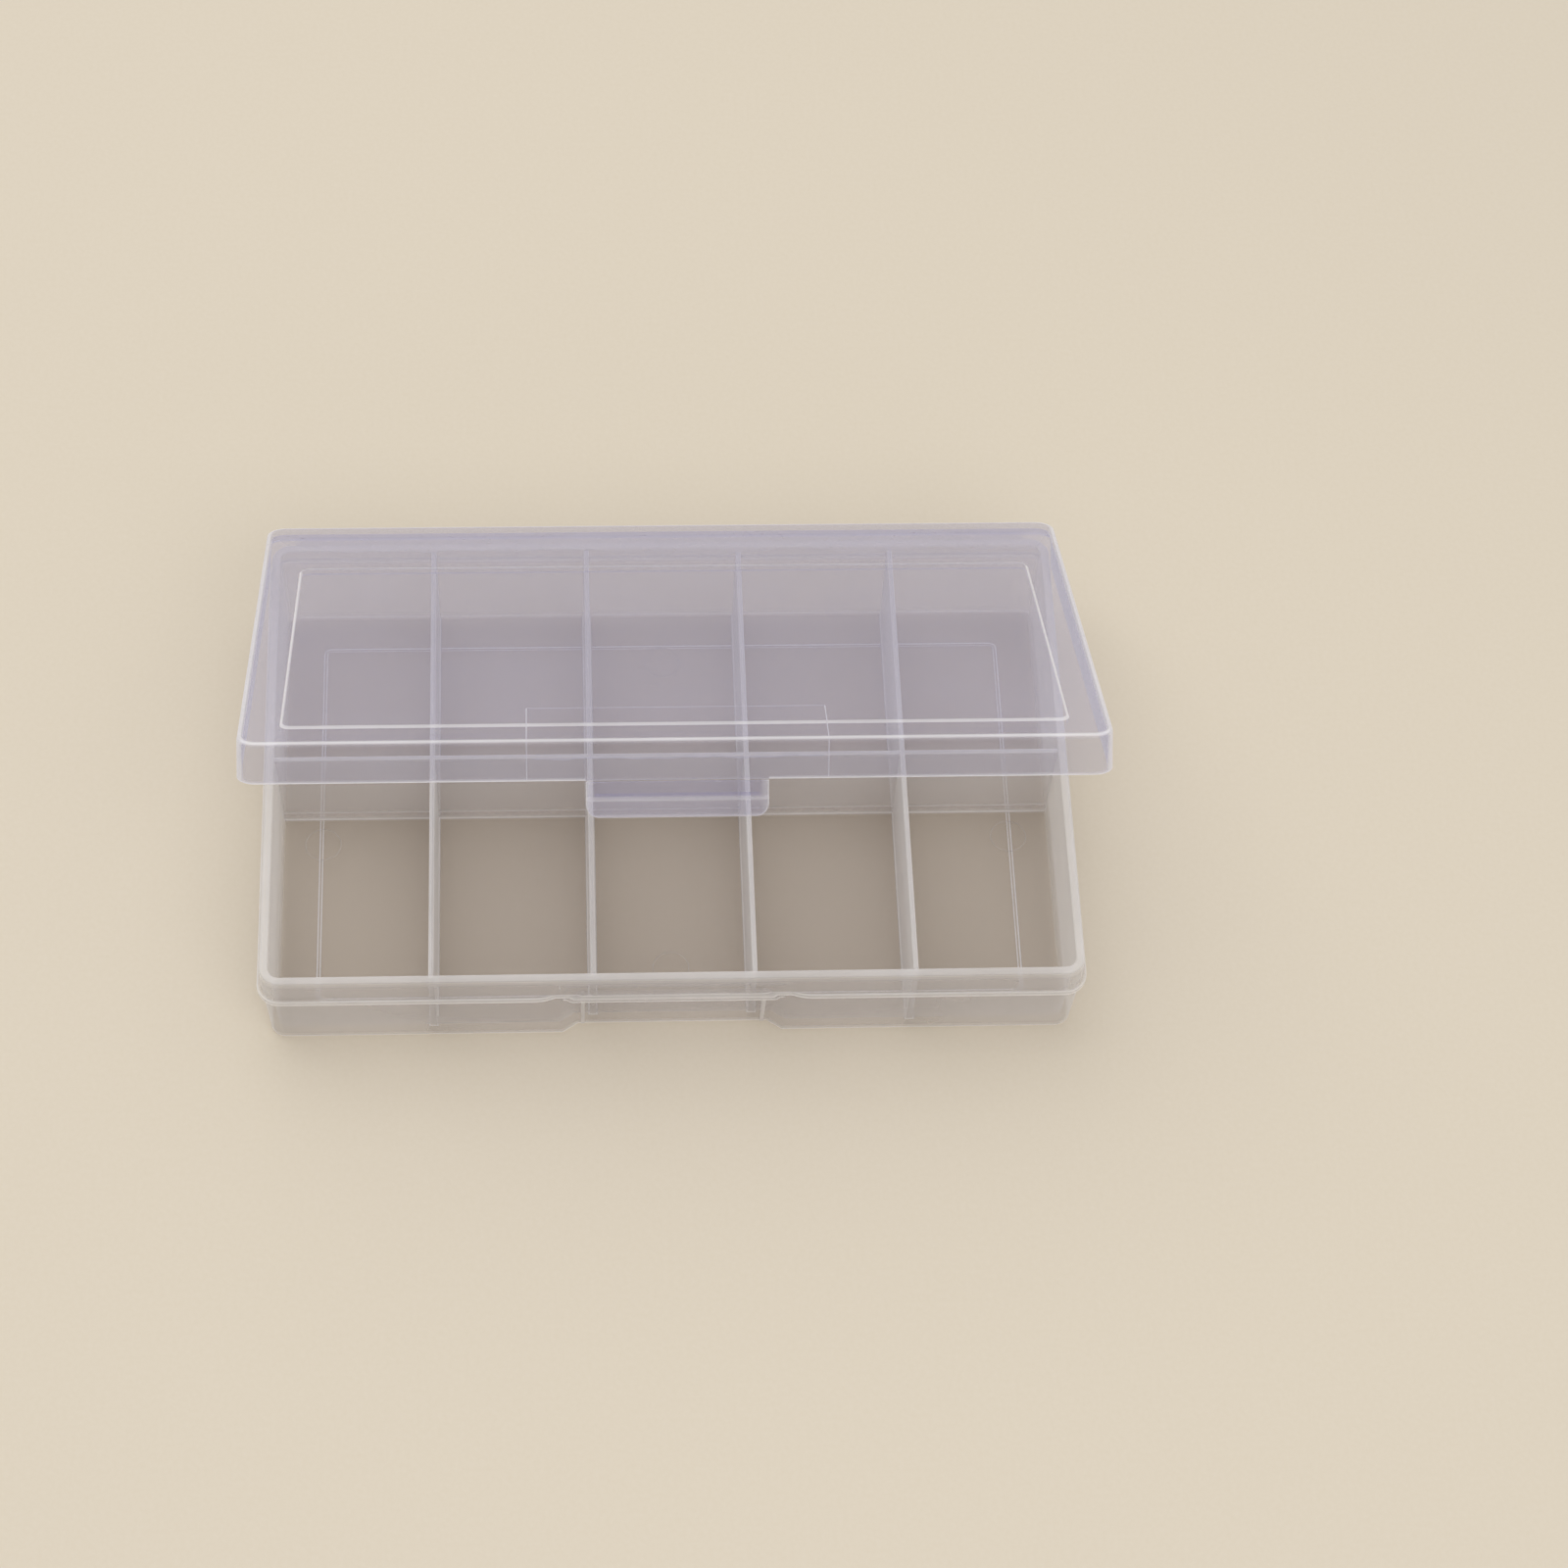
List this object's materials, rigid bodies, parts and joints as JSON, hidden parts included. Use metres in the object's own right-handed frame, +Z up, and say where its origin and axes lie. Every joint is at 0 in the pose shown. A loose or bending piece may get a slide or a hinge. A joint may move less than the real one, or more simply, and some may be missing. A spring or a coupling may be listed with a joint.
{
  "type": "tackle box",
  "caption": "Flat translucent compartment box for small tackle, with fixed dividers, a full-length film hinge, a skirted lid with a raised panel and a flexing front latch.",
  "frame": {"origin": "on the surface the box stands on, under the middle of the tray", "axes": "+X along the box to the right as seen from the latch side, -Y towards the latch side, +Z up out of the tray"},
  "size_m": [0.1808, 0.12, 0.0913],
  "materials": {
    "tray_plastic": "natural translucent polypropylene, satin gloss",
    "lid_plastic": "natural translucent polypropylene, satin gloss",
    "latch_plastic": "natural translucent polypropylene, satin gloss"
  },
  "bodies": {
    "tray": {"back_wall": "tray_plastic", "catch_bar": "tray_plastic", "catch_rib_left": "tray_plastic", "catch_rib_right": "tray_plastic", "catch_wall": "tray_plastic", "cross_divider_1": "tray_plastic", "cross_divider_2": "tray_plastic", "cross_divider_3": "tray_plastic", "cross_divider_4": "tray_plastic", "film_hinge": "tray_plastic", "foot_ring": "tray_plastic", "front_wall_left": "tray_plastic", "front_wall_right": "tray_plastic", "hinge_land": "tray_plastic", "left_wall": "tray_plastic", "length_divider_1": "tray_plastic", "length_divider_2": "tray_plastic", "length_divider_3": "tray_plastic", "length_divider_4": "tray_plastic", "length_divider_5": "tray_plastic", "right_wall": "tray_plastic", "tray_floor": "tray_plastic"},
    "lid": {"lid_back_wall": "lid_plastic", "lid_border": "lid_plastic", "lid_front_skirt": "lid_plastic", "lid_left_skirt": "lid_plastic", "lid_panel": "lid_plastic", "lid_right_skirt": "lid_plastic"},
    "latch": {"latch_grip_lip": "latch_plastic", "latch_hook": "latch_plastic", "latch_tab": "latch_plastic"}
  },
  "joints": [
    {"name": "lid_hinge", "type": "hinge", "parent": "tray", "child": "lid", "pos_m": [0, 0.05995, 0.0262], "axis": [-1, 0, 0], "range_deg": [-31.7, 148.3]},
    {"name": "latch_flex", "type": "hinge", "parent": "lid", "child": "latch", "pos_m": [0, -0.04484, 0.08404], "axis": [-1, 0, 0], "range_deg": [-8, 14], "stiffness_Nm_per_rad": 0.05}
  ]
}
